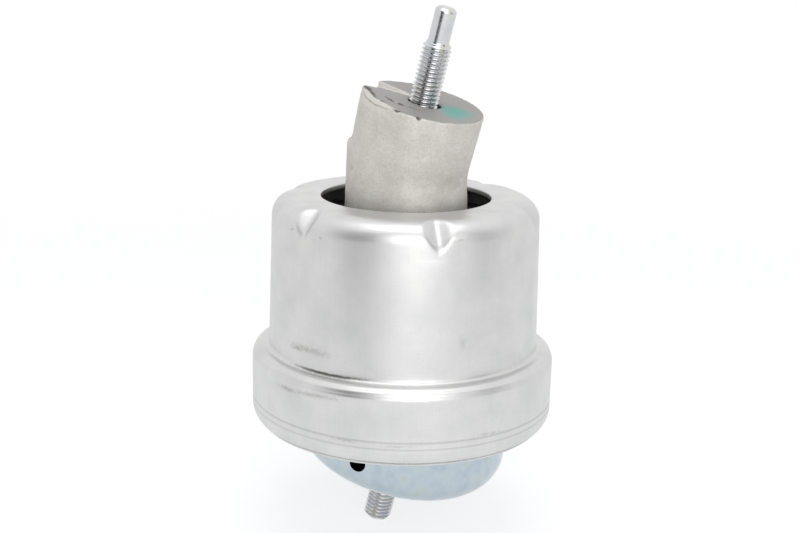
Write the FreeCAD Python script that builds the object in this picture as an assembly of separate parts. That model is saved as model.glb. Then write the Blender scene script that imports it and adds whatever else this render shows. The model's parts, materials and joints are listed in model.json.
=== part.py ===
"""Hydraulic engine mount: an aluminium can holding a rubber-sprung core over a fluid chamber.

Frame: +Z runs up the can's axis and +X is the side that both studs lean to.
The origin is where the lower stud's axis pierces the flat seat under the cup.
The sections are drawn about the can's axis, with z = 0 where that axis meets the seat,
and write_step() moves every finished piece from there to the origin.
"""
import FreeCAD, Part
import math
import os

V = FreeCAD.Vector

# ---------------------------------------------------------------- driving dimensions, millimetres
# Layout
TILT_DEG = 14.5             # lean of both studs and of the seat from the can's axis
SEAT_TO_TOP = 96.9          # from the seat up to the can's top plane, along the can's axis
LOWER_STUD_SHIFT = -2.95    # lower stud's place on the seat, off the can's axis

# Can: drawn from sheet, open at the top, rolled in under the cup's flange
CAN_SHEET = 2.0
CAN_HOLE_R = 29.6
CAN_WALL_R = 46.5           # outside, at the foot of the shoulder
CAN_SHOULDER_R = 7.0
CAN_DRAFT_DEG = 1.2
CAN_FOOT_FILLET = 1.5       # outside fillet where the wall meets the rim
RIM_DROP = 53.0             # from the top plane down to the rim's upper face
RIM_R = 53.3
RIM_CORNER_R = 4.0
RIM_ROLL_R = 7.0            # outside radius of the rolled edge
RIM_ROLL_DEG = 80.0         # how far the edge is rolled in

# Dents that lock the can's shoulder
DENT_COUNT = 6
DENT_FIRST_DEG = 18.5
DENT_REACH_IN = 9.2         # from the wall's radius in to the dent's upper end
DENT_REACH_DOWN = 10.7      # from the top plane down to the dent's lower end
DENT_HALF_ANGLE_DEG = 48.0

# Core: one casting, a straight neck below and a leaning post above
NECK_R = 21.2               # at the can's top plane
NECK_DRAFT_DEG = 1.8
NECK_RISE = 14.2            # top of the straight neck above the can's top plane, on the axis
POST_BEND_RISE = 9.4        # where the post's axis leaves the can's axis, above the top plane
POST_LENGTH = 24.4          # from the bend to the top face
POST_PROUD = 0.5            # post's foot past the neck's ledge, on the side it leans to
POST_TOP_R = 21.3
SHOULDER_DROP = 11.0        # from the can's top plane down to the core's stop shoulder
SHOULDER_H = 5.0
STOP_GAP = 8.0              # between the rubber on the stop shoulder and the can's wall
CORE_DEPTH = 45.0           # from the can's top plane down to the core's nose
NOSE_R = 16.0
CORE_EDGE = 2.0
SLOT_WALL = 2.0             # locating slot in the top face: its one wall, to the side of the post's axis
SLOT_DEPTH = 2.6            # at the rim, along the wall
SLOT_RUNOUT = 4.0           # distance past the post's axis where its sloping floor comes out
SLOT_CANT_DEG = 12.0        # its floor rises sideways away from the wall

# Studs
THREAD_R = 5.0
THREAD_CHAMFER = 0.9
UPPER_STUD_SHIFT = 0.2      # stud's place on the post's face, off the post's axis
UPPER_THREAD_L = 20.7       # thread standing out of the core
UPPER_DOG_L = 12.3
UPPER_DOG_R = 3.65
UPPER_DOG_CHAMFER = 1.0
UPPER_SUNK_L = 18.0
UPPER_SHANK_R = 5.6         # plain end pressed into the core
STUD_HOLE_R = 6.2           # wide mouth of the stud's hole
STUD_HOLE_MOUTH = 2.5
LOWER_STUD_L = 27.5
LOWER_SHANK_R = 5.8         # plain neck pressed into the cup's floor
LOWER_HEAD_R = 9.0
LOWER_HEAD_H = 4.5

# Pieces clamped in the rim, each with its thickness there
CLAMP_CLEARANCE = 0.2       # round the clamped pieces, inside the rim
RING_FLANGE_T = 3.5
RING_H = 20.5               # whole height of the ring
RING_WALL_CLEARANCE = 0.9   # between the ring and the can's wall
RING_LIP_T = 1.3            # ring's wall at its upper edge
RING_FOOT_T = 6.3           # ring's wall at its foot
CHANNEL_TOP_T = 8.0
CHANNEL_BASE_T = 6.0
BEAD_T = 4.0
CUP_SHEET = 2.5

# Main spring
PAD_T = 3.5                 # rubber over the core's stop shoulder
PAD_INNER_R = 25.0
SPRING_ARCH = 9.0           # rise of the hollow under the rubber

# Fluid channel and its plates
TRACK_INNER_R = 33.5
TRACK_W = 10.0
TRACK_DEPTH = 3.8
TRACK_DEG = 300.0
PORT_R = 3.0
GRID_HOLE_R = 2.6
GRID_ROWS = ((0.0, 1), (9.5, 6), (19.0, 12))    # each ring's radius and its number of holes
DECOUPLER_R = 30.0
DECOUPLER_EDGE_T = 4.0
DECOUPLER_EDGE_W = 3.0
DECOUPLER_WEB_T = 2.4
DECOUPLER_CLEARANCE = 0.2

# Diaphragm
DIAPHRAGM_T = 1.8
BEAD_W = 4.5
DIAPHRAGM_FOLD_R = 3.0      # radius of its rolled fold, at mid thickness
DIAPHRAGM_GAP = 2.0         # between the diaphragm and the cup's wall
DIAPHRAGM_FLOOR_GAP = 3.0   # between the fold and the high side of the cup's floor

# Cup
CUP_R = 37.8
CUP_EDGE_R = 11.0
CUP_NECK_R = 1.5            # outside fillet between the cup's flange and its wall
CUP_NECK_TURN = 60          # how far the fillet turns before it runs straight into the wall
VENT_R = 2.9
VENT_DEG = -77.4
VENT_DROP = 85.9            # from the can's top plane down to the vent's centre

# ---------------------------------------------------------------- places worked out from them
TILT = math.radians(TILT_DEG)
DRAFT = math.radians(CAN_DRAFT_DEG)
LEAN = V(math.sin(TILT), 0, math.cos(TILT))         # direction of both studs
DOWN_FACE = V(math.cos(TILT), 0, -math.sin(TILT))   # in the seat and the top face, towards +X
ACROSS = V(0, 1, 0)

TOP_Z = SEAT_TO_TOP
RIM_TOP_Z = TOP_Z - RIM_DROP
RING_TOP_Z = RIM_TOP_Z - CAN_SHEET
CHANNEL_TOP_Z = RING_TOP_Z - RING_FLANGE_T
CHANNEL_BASE_Z = CHANNEL_TOP_Z - CHANNEL_TOP_T
BEAD_Z = CHANNEL_BASE_Z - CHANNEL_BASE_T
CUP_TOP_Z = BEAD_Z - BEAD_T
CUP_FLANGE_Z = CUP_TOP_Z - CUP_SHEET
ROLL_Z = CUP_FLANGE_Z - CAN_SHEET + RIM_ROLL_R      # height of the rolled edge's centre
ROLL_CR = RIM_R - RIM_ROLL_R
ROLL_INNER_R = RIM_ROLL_R - CAN_SHEET
CORNER_CR = RIM_R - RIM_CORNER_R
CORNER_Z = RIM_TOP_Z - RIM_CORNER_R
CLAMP_R = RIM_R - CAN_SHEET - CLAMP_CLEARANCE       # outside radius of the clamped pieces

SHOULDER_CR = CAN_WALL_R - CAN_SHOULDER_R
SHOULDER_Z = TOP_Z - CAN_SHOULDER_R
FOOT_Z = RIM_TOP_Z + CAN_FOOT_FILLET
WALL_FLARE = (SHOULDER_Z - FOOT_Z) * math.sin(DRAFT)
FOOT_CR = SHOULDER_CR + (CAN_SHOULDER_R + CAN_FOOT_FILLET + WALL_FLARE) / math.cos(DRAFT)
RING_FLARE = (SHOULDER_Z - CHANNEL_TOP_Z - RING_H) * math.tan(DRAFT)
RING_R = CAN_WALL_R - CAN_SHEET - RING_WALL_CLEARANCE + RING_FLARE

NECK_SLOPE = math.tan(math.radians(NECK_DRAFT_DEG))
LEDGE_RISE = NECK_RISE - POST_BEND_RISE
LEDGE = LEDGE_RISE * math.cos(TILT)                 # from the bend to the neck's slanting top
NECK_SIDE = (NECK_R - NECK_RISE * NECK_SLOPE) / (1 - math.tan(TILT) * NECK_SLOPE)
POST_LEDGE_R = NECK_SIDE / math.cos(TILT) - LEDGE_RISE * math.sin(TILT) + POST_PROUD
POST_FOOT_R = POST_LEDGE_R - (POST_TOP_R - POST_LEDGE_R) * LEDGE / (POST_LENGTH - LEDGE)

BEND = V(0, 0, TOP_Z + POST_BEND_RISE)
POST_FACE = BEND + LEAN * POST_LENGTH
UPPER_ROOT = POST_FACE + DOWN_FACE * UPPER_STUD_SHIFT
LOWER_ROOT = V(LOWER_STUD_SHIFT, 0, -LOWER_STUD_SHIFT * math.tan(TILT))
STOP_Z = TOP_Z - SHOULDER_DROP
SHOULDER_R = CAN_WALL_R - CAN_SHEET - STOP_GAP - PAD_T
NOSE_Z = TOP_Z - CORE_DEPTH
FAR = 400.0                 # longer than the whole mount, for cutting


# ---------------------------------------------------------------- helpers
def outline(*steps):
    """Closed face in the XZ plane. A step is a point (r, z) or an arc (r, z, radius, from, to)."""
    edges = []
    first = last = None
    for step in steps:
        if len(step) == 2:
            ends = [V(step[0], 0, step[1])] * 3
        else:
            r, z, radius, start, stop = step
            turns = [math.radians(a) for a in (start, (start + stop) / 2, stop)]
            ends = [V(r + radius * math.cos(a), 0, z + radius * math.sin(a)) for a in turns]
        if last and (ends[0] - last).Length > 1e-6:
            edges.append(Part.LineSegment(last, ends[0]).toShape())
        if len(step) > 2:
            edges.append(Part.Arc(*ends).toShape())
        first = first or ends[0]
        last = ends[2]
    if (first - last).Length > 1e-6:
        edges.append(Part.LineSegment(last, first).toShape())
    return Part.Face(Part.Wire(edges))


def turned(*steps):
    """Solid of revolution about the can's axis."""
    return outline(*steps).revolve(V(0, 0, 0), V(0, 0, 1), 360)


def rod(radius, length, foot, axis):
    return Part.makeCylinder(radius, length, foot, axis)


def below_seat(offset):
    """Everything under the seat's plane, moved up by offset along the lean."""
    slab = Part.makeBox(FAR, FAR, FAR, V(-FAR / 2, -FAR / 2, -FAR))
    slab.rotate(V(0, 0, 0), V(0, 1, 0), TILT_DEG)
    slab.translate(LEAN * offset)
    return slab


def around(shape, angle):
    copy = shape.copy()
    copy.rotate(V(0, 0, 0), V(0, 0, 1), angle)
    return copy


def write_step(shape, node):
    """Move a finished piece into the mount's frame and write it."""
    placed = shape.removeSplitter()
    placed.translate(-LOWER_ROOT)
    placed.exportStep(f"parts/{node}.step")
    solids = placed.Solids
    print(f"{node}: {len(solids)} solid, {placed.Volume / 1000:.2f} cm3, valid {placed.isValid()}")


# ---------------------------------------------------------------- can
def dent_wedge(setback):
    """V-shaped wedge that presses one dent, lying over +X; setback moves it into the can."""
    upper = V(CAN_WALL_R - DENT_REACH_IN, 0, TOP_Z)
    lower = V(CAN_WALL_R + DENT_REACH_DOWN * math.tan(DRAFT) / 2, 0, TOP_Z - DENT_REACH_DOWN)
    along = (lower - upper).normalize()
    outward = V(-along.z, 0, along.x)
    height = 3 * CAN_SHOULDER_R
    side = height * math.tan(math.radians(DENT_HALF_ANGLE_DEG))
    foot = upper - along * CAN_SHOULDER_R - outward * setback
    corners = [foot, foot + outward * height + ACROSS * side, foot + outward * height - ACROSS * side, foot]
    run = along * ((lower - upper).Length + 2 * CAN_SHOULDER_R)
    return Part.Face(Part.makePolygon(corners)).extrude(run)


def can():
    lean = CAN_DRAFT_DEG
    shell = turned(
        (CAN_HOLE_R, TOP_Z),
        (SHOULDER_CR, SHOULDER_Z, CAN_SHOULDER_R, 90, lean),
        (FOOT_CR, FOOT_Z, CAN_FOOT_FILLET, 180 + lean, 270),
        (CORNER_CR, CORNER_Z, RIM_CORNER_R, 90, 0),
        (ROLL_CR, ROLL_Z, RIM_ROLL_R, 0, -RIM_ROLL_DEG),
        (ROLL_CR, ROLL_Z, ROLL_INNER_R, -RIM_ROLL_DEG, 0),
        (CORNER_CR, CORNER_Z, RIM_CORNER_R - CAN_SHEET, 0, 90),
        (FOOT_CR, FOOT_Z, CAN_FOOT_FILLET + CAN_SHEET, 270, 180 + lean),
        (SHOULDER_CR, SHOULDER_Z, CAN_SHOULDER_R - CAN_SHEET, lean, 90),
        (CAN_HOLE_R, TOP_Z - CAN_SHEET),
    )
    hollow = turned(
        (0, TOP_Z - CAN_SHEET),
        (SHOULDER_CR, SHOULDER_Z, CAN_SHOULDER_R - CAN_SHEET, 90, lean),
        (FOOT_CR, FOOT_Z, CAN_FOOT_FILLET + CAN_SHEET, 180 + lean, 270),
        (0, FOOT_Z - CAN_FOOT_FILLET - CAN_SHEET),
    )
    hollow = hollow.cut(rod(CAN_HOLE_R, RIM_DROP, V(0, 0, RIM_TOP_Z), V(0, 0, 1)))
    pressed = dent_wedge(0)
    backed = dent_wedge(CAN_SHEET / math.sin(math.radians(DENT_HALF_ANGLE_DEG))).common(hollow)
    for index in range(DENT_COUNT):
        angle = DENT_FIRST_DEG + index * 360 / DENT_COUNT
        shell = shell.fuse(around(backed, angle)).cut(around(pressed, angle))
    return shell


# ---------------------------------------------------------------- core and upper stud
def neck_radius(z):
    return NECK_R - (z - TOP_Z) * NECK_SLOPE


def core_blank():
    """Turned part of the core: nose, stop shoulder and straight neck."""
    shoulder_foot = STOP_Z - SHOULDER_H
    top = TOP_Z + NECK_RISE + POST_LENGTH
    blank = turned(
        (0, NOSE_Z),
        (NOSE_R - CORE_EDGE, NOSE_Z + CORE_EDGE, CORE_EDGE, -90, 0),
        (SHOULDER_R, shoulder_foot),
        (SHOULDER_R - CORE_EDGE, STOP_Z - CORE_EDGE, CORE_EDGE, 0, 90),
        (neck_radius(STOP_Z), STOP_Z),
        (neck_radius(top), top),
        (0, top),
    )
    above = below_seat(FAR)
    above.translate(V(0, 0, TOP_Z + NECK_RISE))
    return blank.cut(above)


def stud_hole():
    sunk = rod(UPPER_SHANK_R, UPPER_SUNK_L, UPPER_ROOT - LEAN * UPPER_SUNK_L, LEAN)
    mouth = rod(STUD_HOLE_R, 2 * STUD_HOLE_MOUTH, UPPER_ROOT - LEAN * STUD_HOLE_MOUTH, LEAN)
    return sunk.fuse(mouth)


def locating_slot():
    """Wedge whose floor is deepest at the post's high side, along the wall, and comes out near the stud."""
    length = 2 * POST_TOP_R
    slope = math.degrees(math.atan2(SLOT_DEPTH, POST_TOP_R + SLOT_RUNOUT))
    slot = Part.makeBox(length, length, POST_TOP_R, V(-length, -length, 0))
    slot.rotate(V(0, 0, 0), V(1, 0, 0), -SLOT_CANT_DEG)
    slot.rotate(V(0, 0, 0), V(0, 1, 0), TILT_DEG - slope)
    slot.translate(POST_FACE + DOWN_FACE * SLOT_RUNOUT + ACROSS * SLOT_WALL)
    return slot


def core():
    post = Part.makeCone(POST_FOOT_R, POST_TOP_R, POST_LENGTH, BEND, LEAN)
    return core_blank().fuse(post).cut(stud_hole()).cut(locating_slot())


def upper_stud():
    sunk_z = -UPPER_SUNK_L
    dog_z = UPPER_THREAD_L
    tip_z = UPPER_THREAD_L + UPPER_DOG_L
    stud = turned(
        (0, sunk_z),
        (UPPER_SHANK_R, sunk_z),
        (UPPER_SHANK_R, -STUD_HOLE_MOUTH),
        (THREAD_R, -STUD_HOLE_MOUTH),
        (THREAD_R, dog_z - THREAD_CHAMFER),
        (THREAD_R - THREAD_CHAMFER, dog_z),
        (UPPER_DOG_R, dog_z),
        (UPPER_DOG_R, tip_z - UPPER_DOG_CHAMFER),
        (UPPER_DOG_R - UPPER_DOG_CHAMFER, tip_z),
        (0, tip_z),
    )
    stud.rotate(V(0, 0, 0), V(0, 1, 0), TILT_DEG)
    stud.translate(UPPER_ROOT)
    return stud


# ---------------------------------------------------------------- main spring and its ring
def spring_ring():
    """Ring that the rubber is bonded into: a flange in the rim and a coned wall inside the can."""
    foot = CHANNEL_TOP_Z
    corner = RIM_CORNER_R - CAN_SHEET
    return turned(
        (RING_R - RING_FOOT_T, foot),
        (CLAMP_R, foot),
        (CLAMP_R - corner, RING_TOP_Z - corner, corner, 0, 90),
        (RING_R, RING_TOP_Z),
        (RING_R, foot + RING_H),
        (RING_R - RING_LIP_T, foot + RING_H),
    )


def main_spring():
    """Rubber cone from the core down to the ring, with a pad over the core's stop shoulder."""
    foot = CHANNEL_TOP_Z
    pad_r = SHOULDER_R + PAD_T
    pad_top = STOP_Z + PAD_T
    arch_z = (foot + NOSE_Z) / 2 + SPRING_ARCH / 2
    inner = NOSE_R - CORE_EDGE
    outer = RING_R - RING_FOOT_T
    start = V(outer, 0, foot)
    crown = V((inner + outer) / 2, 0, arch_z)
    stop = V(inner, 0, NOSE_Z + CORE_EDGE)
    edges = [
        Part.Arc(start, crown, stop).toShape(),
        Part.makePolygon([stop, V(PAD_INNER_R, 0, STOP_Z - SHOULDER_H), V(PAD_INNER_R, 0, pad_top),
                          V(pad_r, 0, pad_top), V(pad_r, 0, STOP_Z - SHOULDER_H),
                          V(RING_R, 0, foot + RING_H), start]),
    ]
    blank = Part.Face(Part.Wire(edges[0].Edges + edges[1].Edges)).revolve(V(0, 0, 0), V(0, 0, 1), 360)
    return blank.cut(core_blank()).cut(spring_ring())


# ---------------------------------------------------------------- fluid channel and decoupler
def grid_holes(foot, height):
    holes = []
    for ring_r, count in GRID_ROWS:
        for index in range(count):
            turn = 2 * math.pi * index / count
            centre = V(ring_r * math.cos(turn), ring_r * math.sin(turn), foot)
            holes.append(rod(GRID_HOLE_R, height, centre, V(0, 0, 1)))
    return Part.makeCompound(holes)


def decoupler_seat(face_z):
    """Recess for half of the decoupler's clamped edge, on each side of the plates' meeting face."""
    half = DECOUPLER_EDGE_T / 2
    return rod(DECOUPLER_R + DECOUPLER_CLEARANCE, 2 * half, V(0, 0, face_z - half), V(0, 0, 1))


def port(angle, foot, height):
    mid_r = TRACK_INNER_R + TRACK_W / 2
    turn = math.radians(angle)
    return rod(PORT_R, height, V(mid_r * math.cos(turn), mid_r * math.sin(turn), foot), V(0, 0, 1))


def port_angle():
    """Turn from the track's closed end to the centre of a port beside it."""
    return math.degrees(PORT_R / TRACK_INNER_R) + 2


def channel_top():
    blank = rod(CLAMP_R, CHANNEL_TOP_T, V(0, 0, CHANNEL_BASE_Z), V(0, 0, 1))
    blank = blank.cut(decoupler_seat(CHANNEL_BASE_Z))
    blank = blank.cut(grid_holes(CHANNEL_BASE_Z, CHANNEL_TOP_T))
    return blank.cut(port(port_angle(), CHANNEL_BASE_Z, CHANNEL_TOP_T))


def channel_base():
    blank = rod(CLAMP_R, CHANNEL_BASE_T, V(0, 0, BEAD_Z), V(0, 0, 1))
    blank = blank.cut(decoupler_seat(CHANNEL_BASE_Z))
    blank = blank.cut(grid_holes(BEAD_Z, CHANNEL_BASE_T))
    track = outline(
        (TRACK_INNER_R, CHANNEL_BASE_Z - TRACK_DEPTH),
        (TRACK_INNER_R + TRACK_W, CHANNEL_BASE_Z - TRACK_DEPTH),
        (TRACK_INNER_R + TRACK_W, CHANNEL_BASE_Z + TRACK_DEPTH),
        (TRACK_INNER_R, CHANNEL_BASE_Z + TRACK_DEPTH),
    ).revolve(V(0, 0, 0), V(0, 0, 1), TRACK_DEG)
    return blank.cut(track).cut(port(TRACK_DEG - port_angle(), BEAD_Z, CHANNEL_BASE_T))


def decoupler():
    edge = DECOUPLER_EDGE_T / 2
    web = DECOUPLER_WEB_T / 2
    web_r = DECOUPLER_R - DECOUPLER_EDGE_W
    disc = turned(
        (0, -web),
        (web_r, -web),
        (web_r, -edge),
        (DECOUPLER_R, -edge),
        (DECOUPLER_R, edge),
        (web_r, edge),
        (web_r, web),
        (0, web),
    )
    disc.translate(V(0, 0, CHANNEL_BASE_Z))
    return disc


# ---------------------------------------------------------------- diaphragm, cup and lower stud
def flange_angle(radius):
    """Turn from level, about the rolled edge's centre, down to the top of the cup's flange."""
    return math.degrees(math.asin((CUP_TOP_Z - ROLL_Z) / radius))


def diaphragm():
    """Thin bellows: a clamped bead, a flat web, one rolled fold hanging into the cup, a flat middle."""
    half = DIAPHRAGM_T / 2
    web_z = BEAD_Z - BEAD_T / 2
    fold_in = DIAPHRAGM_FOLD_R
    drop_r = CUP_R - CUP_SHEET - DIAPHRAGM_GAP - half
    mid_r = drop_r - 2 * fold_in
    floor_z = (mid_r + fold_in) * math.tan(TILT) + CUP_SHEET / math.cos(TILT)
    fold_z = floor_z + DIAPHRAGM_FLOOR_GAP + fold_in + half
    roll = ROLL_INNER_R - CLAMP_CLEARANCE
    return turned(
        (CLAMP_R, BEAD_Z),
        (ROLL_CR, ROLL_Z, roll, 0, flange_angle(roll)),
        (CLAMP_R - BEAD_W, CUP_TOP_Z),
        (CLAMP_R - BEAD_W, web_z - half),
        (drop_r + half, web_z - half),
        (mid_r + fold_in, fold_z, fold_in + half, 0, -180),
        (mid_r - half, web_z - half),
        (0, web_z - half),
        (0, web_z + half),
        (mid_r + half, web_z + half),
        (mid_r + fold_in, fold_z, fold_in - half, 180, 360),
        (drop_r - half, web_z + half),
        (CLAMP_R - BEAD_W, web_z + half),
        (CLAMP_R - BEAD_W, BEAD_Z),
    )


def cup_body(radius, edge_r, lift, top_z):
    """Round pot cut off by the slanting seat, with its lower edge rounded."""
    pot = rod(radius, FAR, V(0, 0, top_z - FAR), V(0, 0, 1)).cut(below_seat(lift))
    rims = [edge for edge in pot.Edges if edge.isClosed()]
    lowest = min(rims, key=lambda edge: edge.CenterOfMass.z)
    return pot.makeFillet(edge_r, [lowest])


def cup():
    neck = CUP_R + CUP_NECK_R
    neck_z = CUP_FLANGE_Z - CUP_NECK_R
    turned_in = math.radians(90 + CUP_NECK_TURN)
    run_out = 1.6 * CUP_NECK_R
    foot_r = neck + CUP_NECK_R * math.cos(turned_in) - run_out * math.sin(turned_in)
    foot_z = neck_z + CUP_NECK_R * math.sin(turned_in) + run_out * math.cos(turned_in)
    flange = turned(
        (0, CUP_TOP_Z),
        (ROLL_CR, ROLL_Z, ROLL_INNER_R, flange_angle(ROLL_INNER_R), -90),
        (neck, neck_z, CUP_NECK_R, 90, 90 + CUP_NECK_TURN),
        (foot_r, foot_z),
        (0, foot_z),
    )
    outer = cup_body(CUP_R, CUP_EDGE_R, 0, CUP_TOP_Z)
    inner = cup_body(CUP_R - CUP_SHEET, CUP_EDGE_R - CUP_SHEET, CUP_SHEET, CUP_TOP_Z + CUP_SHEET)
    turn = math.radians(VENT_DEG)
    vent = rod(VENT_R, 2 * CUP_SHEET, V(0, 0, TOP_Z - VENT_DROP), V(math.cos(turn), math.sin(turn), 0))
    vent.translate(V(math.cos(turn), math.sin(turn), 0) * (CUP_R - 1.5 * CUP_SHEET))
    stud_way = rod(LOWER_SHANK_R, 4 * CUP_SHEET, LOWER_ROOT - LEAN * CUP_SHEET, LEAN)
    return outer.fuse(flange).cut(inner).cut(vent).cut(stud_way)


def lower_stud():
    head_z = CUP_SHEET + LOWER_HEAD_H
    stud = turned(
        (0, head_z),
        (LOWER_HEAD_R, head_z),
        (LOWER_HEAD_R, CUP_SHEET),
        (LOWER_SHANK_R, CUP_SHEET),
        (LOWER_SHANK_R, 0),
        (THREAD_R, 0),
        (THREAD_R, -LOWER_STUD_L + THREAD_CHAMFER),
        (THREAD_R - THREAD_CHAMFER, -LOWER_STUD_L),
        (0, -LOWER_STUD_L),
    )
    stud.rotate(V(0, 0, 0), V(0, 1, 0), TILT_DEG)
    stud.translate(LOWER_ROOT)
    return stud


# ---------------------------------------------------------------- write every piece
PIECES = (can, core, upper_stud, main_spring, spring_ring, channel_top,
          decoupler, channel_base, diaphragm, cup, lower_stud)

os.makedirs("parts", exist_ok=True)
for piece in PIECES:
    write_step(piece(), piece.__name__)
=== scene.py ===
# %% [markdown]
# # A hydraulic engine mount, modelled and finished in Blender
#
# The real mount is a drawn aluminium can. A cast core leans out of its top, held in rubber inside,
# and a pressed steel cup is rolled into its rim. An M10 stud stands out of each end.
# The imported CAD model, the frame, gives every size and place. This lesson makes the pieces that
# show again, with their real edges, dents and threads, and gives each surface its finish.

# %% Load the frame
import json
import math

import bmesh
import bpy
from mathutils import Matrix, Vector, noise
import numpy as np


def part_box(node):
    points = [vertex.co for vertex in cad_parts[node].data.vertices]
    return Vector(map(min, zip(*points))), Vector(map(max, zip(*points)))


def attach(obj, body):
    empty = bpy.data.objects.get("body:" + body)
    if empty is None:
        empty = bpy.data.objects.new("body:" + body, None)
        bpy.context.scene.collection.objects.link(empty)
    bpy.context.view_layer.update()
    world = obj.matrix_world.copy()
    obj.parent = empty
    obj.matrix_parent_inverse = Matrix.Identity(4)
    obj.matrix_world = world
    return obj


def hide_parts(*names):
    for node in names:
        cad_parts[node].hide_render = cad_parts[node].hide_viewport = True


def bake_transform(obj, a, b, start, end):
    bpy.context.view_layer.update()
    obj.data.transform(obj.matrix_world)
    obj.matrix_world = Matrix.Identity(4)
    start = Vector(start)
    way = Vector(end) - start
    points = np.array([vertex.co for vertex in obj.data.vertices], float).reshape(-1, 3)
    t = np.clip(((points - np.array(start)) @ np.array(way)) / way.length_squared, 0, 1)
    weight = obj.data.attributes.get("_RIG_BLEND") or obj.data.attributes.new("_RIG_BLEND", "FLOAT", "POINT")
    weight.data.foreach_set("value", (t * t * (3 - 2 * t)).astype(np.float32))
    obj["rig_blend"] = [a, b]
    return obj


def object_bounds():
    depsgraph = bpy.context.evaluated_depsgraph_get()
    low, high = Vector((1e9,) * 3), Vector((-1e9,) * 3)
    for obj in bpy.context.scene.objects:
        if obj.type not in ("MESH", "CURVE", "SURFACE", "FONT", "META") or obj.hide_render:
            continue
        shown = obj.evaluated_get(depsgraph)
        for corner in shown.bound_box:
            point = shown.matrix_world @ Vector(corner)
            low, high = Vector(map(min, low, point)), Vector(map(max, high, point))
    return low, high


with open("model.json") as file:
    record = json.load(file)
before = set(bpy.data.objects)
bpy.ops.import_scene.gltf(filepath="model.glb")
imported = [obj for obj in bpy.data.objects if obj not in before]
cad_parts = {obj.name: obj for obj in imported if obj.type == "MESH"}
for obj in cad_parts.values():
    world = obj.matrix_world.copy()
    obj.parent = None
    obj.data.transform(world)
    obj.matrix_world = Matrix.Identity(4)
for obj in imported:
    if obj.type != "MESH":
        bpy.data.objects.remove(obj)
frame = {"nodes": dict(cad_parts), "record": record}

cad_low, cad_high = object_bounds()
print("nodes:", ", ".join(frame["nodes"]))
print("frame size in mm:", [round(side * 1000, 1) for side in Vector(cad_high) - Vector(cad_low)])

# %% [markdown]
# ## Measures
#
# Everything is placed from the frame. The mounts of the record give the lean of both studs, and
# the can's box gives the can's axis, its flat top and its rim. A piece is drawn in millimetres
# about its own axis, because such numbers are easy to read, and it is turned and scaled into place
# once it is whole.

# %% Places read from the frame
MM = 0.001
mounts = {mount["name"]: mount for mount in frame["record"]["mounts"]}
LEAN = Vector(mounts["upper_stud"]["axis"]).normalized()
TILT = math.atan2(LEAN.x, LEAN.z)
DOWN_FACE = Vector((LEAN.z, 0, -LEAN.x))            # in the core's top face, towards +X

can_low, can_high = (Vector(corner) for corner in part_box("can"))
CAN_TOP = Vector(((can_low.x + can_high.x) / 2, 0, can_high.z))
RIM_R = round((can_high.x - can_low.x) / 2 / MM, 1)

stud_point = Vector(mounts["upper_stud"]["pos_m"])
face_point = Vector(mounts["upper_seat"]["pos_m"])
STUD_FOOT = stud_point - LEAN * (stud_point - face_point).dot(LEAN)     # stud's axis in the top face
UPPER_STUD_SHIFT = 0.2                                                  # stud's axis from the post's
POST_FACE = STUD_FOOT - DOWN_FACE * UPPER_STUD_SHIFT * MM
SEAT = Vector((0, 0, 0))                                                # lower stud's axis in the seat
print("lean", round(math.degrees(TILT), 2), "degrees; rim radius", RIM_R, "mm")
print("core's top face at", [round(value / MM, 1) for value in POST_FACE], "mm")

# %% [markdown]
# ## Growing a skin ring by ring
#
# Nearly every piece here is round but not quite a turned shape: the can has dents, the cup has a
# slanting bottom. A spin would make only the turned shape. So a piece starts as a circle, and its
# edge is extruded again and again, as one would by hand, and each new ring is laid where the
# piece's outline says. Each corner keeps its own turn about the axis in a mesh layer, so it always
# finds its place, even on the last small ring round a hole.

# %% Start a circle and extrude it through its stations
SEAM_GAP = 0.004                    # corners nearer than this are welded, in mm


def deselect():
    """An operator acts on all that is selected, and the frame's nodes are, once loaded."""
    bpy.ops.object.select_all(action="DESELECT")


def choose(piece):
    """Select one piece alone and make it the active one."""
    deselect()
    piece.select_set(True)
    bpy.context.view_layer.objects.active = piece


def edit_mode(pick):
    """Go into edit mode, to pick corners, edges or faces."""
    bpy.ops.object.mode_set(mode="EDIT")
    bpy.ops.mesh.select_mode(type=pick)


def new_piece(name):
    """Name what an operator has just added."""
    piece = bpy.context.active_object
    piece.name = name
    piece.data.name = name
    return piece


def lay_ring(piece, station):
    """Move the picked ring to a station, which gives a corner's place from its turn."""
    mesh = bmesh.from_edit_mesh(piece.data)
    turn = mesh.verts.layers.float["turn"]
    for corner in mesh.verts:
        if corner.select:
            corner.co = station(corner[turn])
    bmesh.update_edit_mesh(piece.data)


def start_circle(name, turns, station):
    """A ring of edges with one corner at each of these turns, in degrees."""
    deselect()
    bpy.ops.mesh.primitive_circle_add(vertices=len(turns), radius=1)
    piece = new_piece(name)
    edit_mode("VERT")
    bpy.ops.mesh.select_all(action="SELECT")
    mesh = bmesh.from_edit_mesh(piece.data)
    turn = mesh.verts.layers.float.new("turn")
    corners = sorted(mesh.verts, key=lambda corner: math.atan2(corner.co.y, corner.co.x))
    for corner, angle in zip(corners, turns):
        corner[turn] = math.radians(angle)
    bmesh.update_edit_mesh(piece.data)
    lay_ring(piece, station)
    return piece


def grow(piece, stations):
    """Extrude the picked ring once for each station."""
    for station in stations:
        bpy.ops.mesh.extrude_region_move()
        lay_ring(piece, station)


def close_skin():
    """Weld the seams and poles, and point every face outwards."""
    bpy.ops.mesh.select_all(action="SELECT")
    bpy.ops.mesh.remove_doubles(threshold=SEAM_GAP)
    bpy.ops.mesh.normals_make_consistent(inside=False)
    bpy.ops.object.mode_set(mode="OBJECT")


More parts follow.
